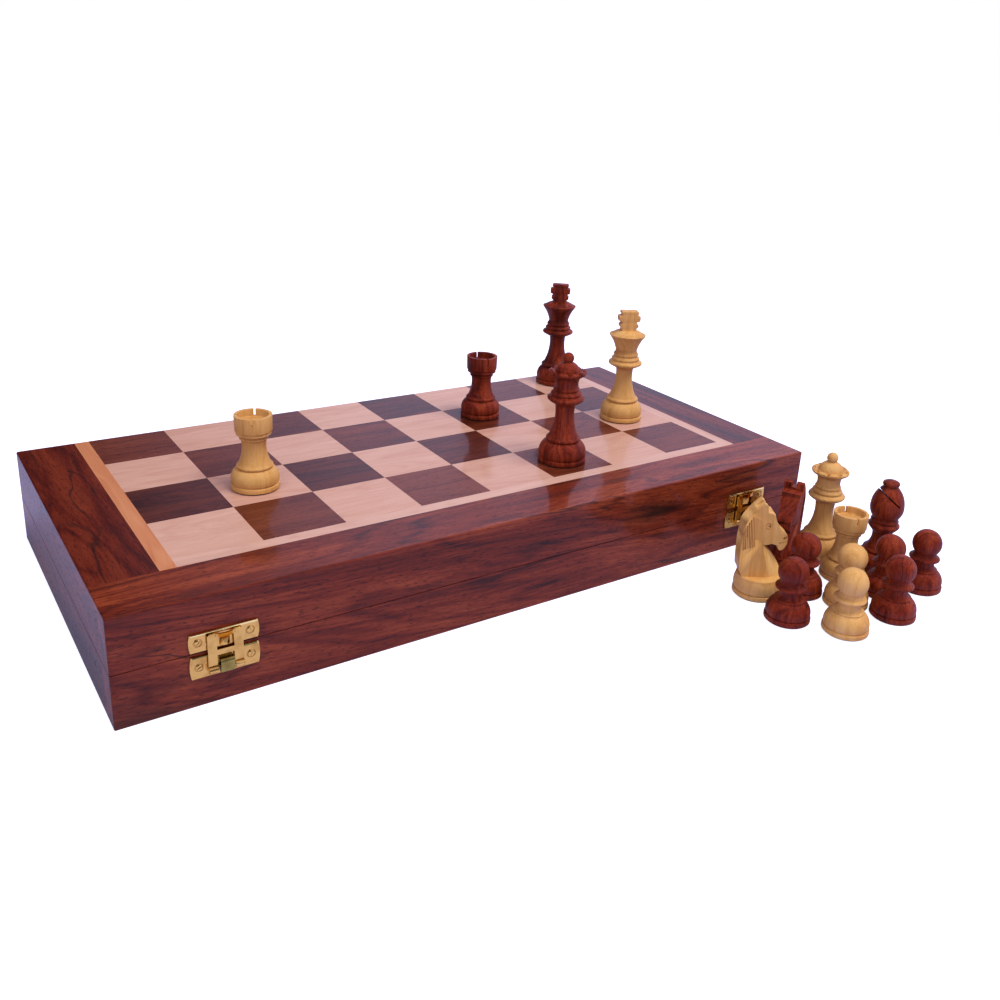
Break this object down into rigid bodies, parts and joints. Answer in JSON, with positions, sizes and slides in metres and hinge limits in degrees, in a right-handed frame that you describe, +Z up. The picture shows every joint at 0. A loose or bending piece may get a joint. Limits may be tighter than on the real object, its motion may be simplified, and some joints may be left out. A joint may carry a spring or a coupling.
{
  "type": "chess set with board",
  "caption": "Hinged wooden box whose outside is an inlaid chess board, latched in front, with turned light and dark chessmen on it, beside it and stored inside.",
  "frame": {"origin": "centre of the closed box's underside, which is the lower half's playing surface", "axes": "+X along the latched front to the right, +Y to the hinged back, +Z up"},
  "size_m": [0.4252, 0.316, 0.1241],
  "materials": {
    "rosewood": "gloss",
    "dark_square_wood": "gloss",
    "light_square_wood": "gloss",
    "inlay_wood": "gloss",
    "ground_plywood": "matt",
    "lining_cloth": "matt",
    "foam_cloth": "matt",
    "brass": "polished",
    "steel": "satin",
    "boxwood": "satin",
    "stained_wood": "gloss"
  },
  "bodies": {
    "upper_half": {"catch_plate_screws": "brass", "hinge_pins": "steel", "left_catch_plate": "brass", "right_catch_plate": "brass", "upper_back_rail": "rosewood", "upper_dark_squares": "dark_square_wood", "upper_foam_strips": "foam_cloth", "upper_front_rail": "rosewood", "upper_ground_board": "ground_plywood", "upper_hinge_leaves": "brass", "upper_hinge_screws": "brass", "upper_inlay_strips": "inlay_wood", "upper_left_rail": "rosewood", "upper_light_squares": "light_square_wood", "upper_lining_pad": "lining_cloth", "upper_right_rail": "rosewood"},
    "lower_half": {"hasp_pins": "steel", "hasp_plate_screws": "brass", "left_hasp_plate": "brass", "lower_back_rail": "rosewood", "lower_dark_squares": "dark_square_wood", "lower_foam_strips": "foam_cloth", "lower_front_rail": "rosewood", "lower_ground_board": "ground_plywood", "lower_hinge_leaves": "brass", "lower_hinge_screws": "brass", "lower_inlay_strips": "inlay_wood", "lower_left_rail": "rosewood", "lower_light_squares": "light_square_wood", "lower_lining_pad": "lining_cloth", "lower_right_rail": "rosewood", "right_hasp_plate": "brass", "stored_dark_bishop": "stained_wood", "stored_dark_knight": "stained_wood", "stored_dark_pawns": "stained_wood", "stored_dark_rook": "stained_wood", "stored_light_bishops": "boxwood", "stored_light_knight": "boxwood", "stored_light_pawns": "boxwood"},
    "left_hasp": {"left_hasp": "brass"},
    "right_hasp": {"right_hasp": "brass"},
    "dark_bishop": {"dark_bishop": "stained_wood"},
    "dark_king": {"dark_king": "stained_wood"},
    "dark_knight": {"dark_knight": "stained_wood"},
    "dark_pawn_1": {"dark_pawn_1": "stained_wood"},
    "dark_pawn_2": {"dark_pawn_2": "stained_wood"},
    "dark_pawn_3": {"dark_pawn_3": "stained_wood"},
    "dark_pawn_4": {"dark_pawn_4": "stained_wood"},
    "dark_pawn_5": {"dark_pawn_5": "stained_wood"},
    "dark_queen": {"dark_queen": "stained_wood"},
    "dark_rook": {"dark_rook": "stained_wood"},
    "light_king": {"light_king": "boxwood"},
    "light_knight": {"light_knight": "boxwood"},
    "light_pawn_1": {"light_pawn_1": "boxwood"},
    "light_pawn_2": {"light_pawn_2": "boxwood"},
    "light_queen": {"light_queen": "boxwood"},
    "light_rook_near_corner": {"light_rook_near_corner": "boxwood"},
    "light_rook_on_table": {"light_rook_on_table": "boxwood"}
  },
  "joints": [
    {"name": "board_fold", "type": "hinge", "parent": "upper_half", "child": "lower_half", "pos_m": [0, 0.10063, 0.0262], "axis": [1, 0, 0], "range_deg": [0, 180]},
    {"name": "left_hasp_swing", "type": "hinge", "parent": "lower_half", "child": "left_hasp", "pos_m": [-0.1565, -0.10287, 0.0176], "axis": [1, 0, 0], "range_deg": [0, 150]},
    {"name": "right_hasp_swing", "type": "hinge", "parent": "lower_half", "child": "right_hasp", "pos_m": [0.1565, -0.10287, 0.0176], "axis": [1, 0, 0], "range_deg": [0, 150]},
    {"name": "dark_bishop_lift", "type": "slide", "parent": "upper_half", "child": "dark_bishop", "axis": [0, 0, 1], "range_m": [0, 0.1]},
    {"name": "dark_king_lift", "type": "slide", "parent": "upper_half", "child": "dark_king", "axis": [0, 0, 1], "range_m": [0, 0.1]},
    {"name": "dark_knight_lift", "type": "slide", "parent": "upper_half", "child": "dark_knight", "axis": [0, 0, 1], "range_m": [0, 0.1]},
    {"name": "dark_pawn_1_lift", "type": "slide", "parent": "upper_half", "child": "dark_pawn_1", "axis": [0, 0, 1], "range_m": [0, 0.1]},
    {"name": "dark_pawn_2_lift", "type": "slide", "parent": "upper_half", "child": "dark_pawn_2", "axis": [0, 0, 1], "range_m": [0, 0.1]},
    {"name": "dark_pawn_3_lift", "type": "slide", "parent": "upper_half", "child": "dark_pawn_3", "axis": [0, 0, 1], "range_m": [0, 0.1]},
    {"name": "dark_pawn_4_lift", "type": "slide", "parent": "upper_half", "child": "dark_pawn_4", "axis": [0, 0, 1], "range_m": [0, 0.1]},
    {"name": "dark_pawn_5_lift", "type": "slide", "parent": "upper_half", "child": "dark_pawn_5", "axis": [0, 0, 1], "range_m": [0, 0.1]},
    {"name": "dark_queen_lift", "type": "slide", "parent": "upper_half", "child": "dark_queen", "axis": [0, 0, 1], "range_m": [0, 0.1]},
    {"name": "dark_rook_lift", "type": "slide", "parent": "upper_half", "child": "dark_rook", "axis": [0, 0, 1], "range_m": [0, 0.1]},
    {"name": "light_king_lift", "type": "slide", "parent": "upper_half", "child": "light_king", "axis": [0, 0, 1], "range_m": [0, 0.1]},
    {"name": "light_knight_lift", "type": "slide", "parent": "upper_half", "child": "light_knight", "axis": [0, 0, 1], "range_m": [0, 0.1]},
    {"name": "light_pawn_1_lift", "type": "slide", "parent": "upper_half", "child": "light_pawn_1", "axis": [0, 0, 1], "range_m": [0, 0.1]},
    {"name": "light_pawn_2_lift", "type": "slide", "parent": "upper_half", "child": "light_pawn_2", "axis": [0, 0, 1], "range_m": [0, 0.1]},
    {"name": "light_queen_lift", "type": "slide", "parent": "upper_half", "child": "light_queen", "axis": [0, 0, 1], "range_m": [0, 0.1]},
    {"name": "light_rook_near_corner_lift", "type": "slide", "parent": "upper_half", "child": "light_rook_near_corner", "axis": [0, 0, 1], "range_m": [0, 0.1]},
    {"name": "light_rook_on_table_lift", "type": "slide", "parent": "upper_half", "child": "light_rook_on_table", "axis": [0, 0, 1], "range_m": [0, 0.1]}
  ]
}
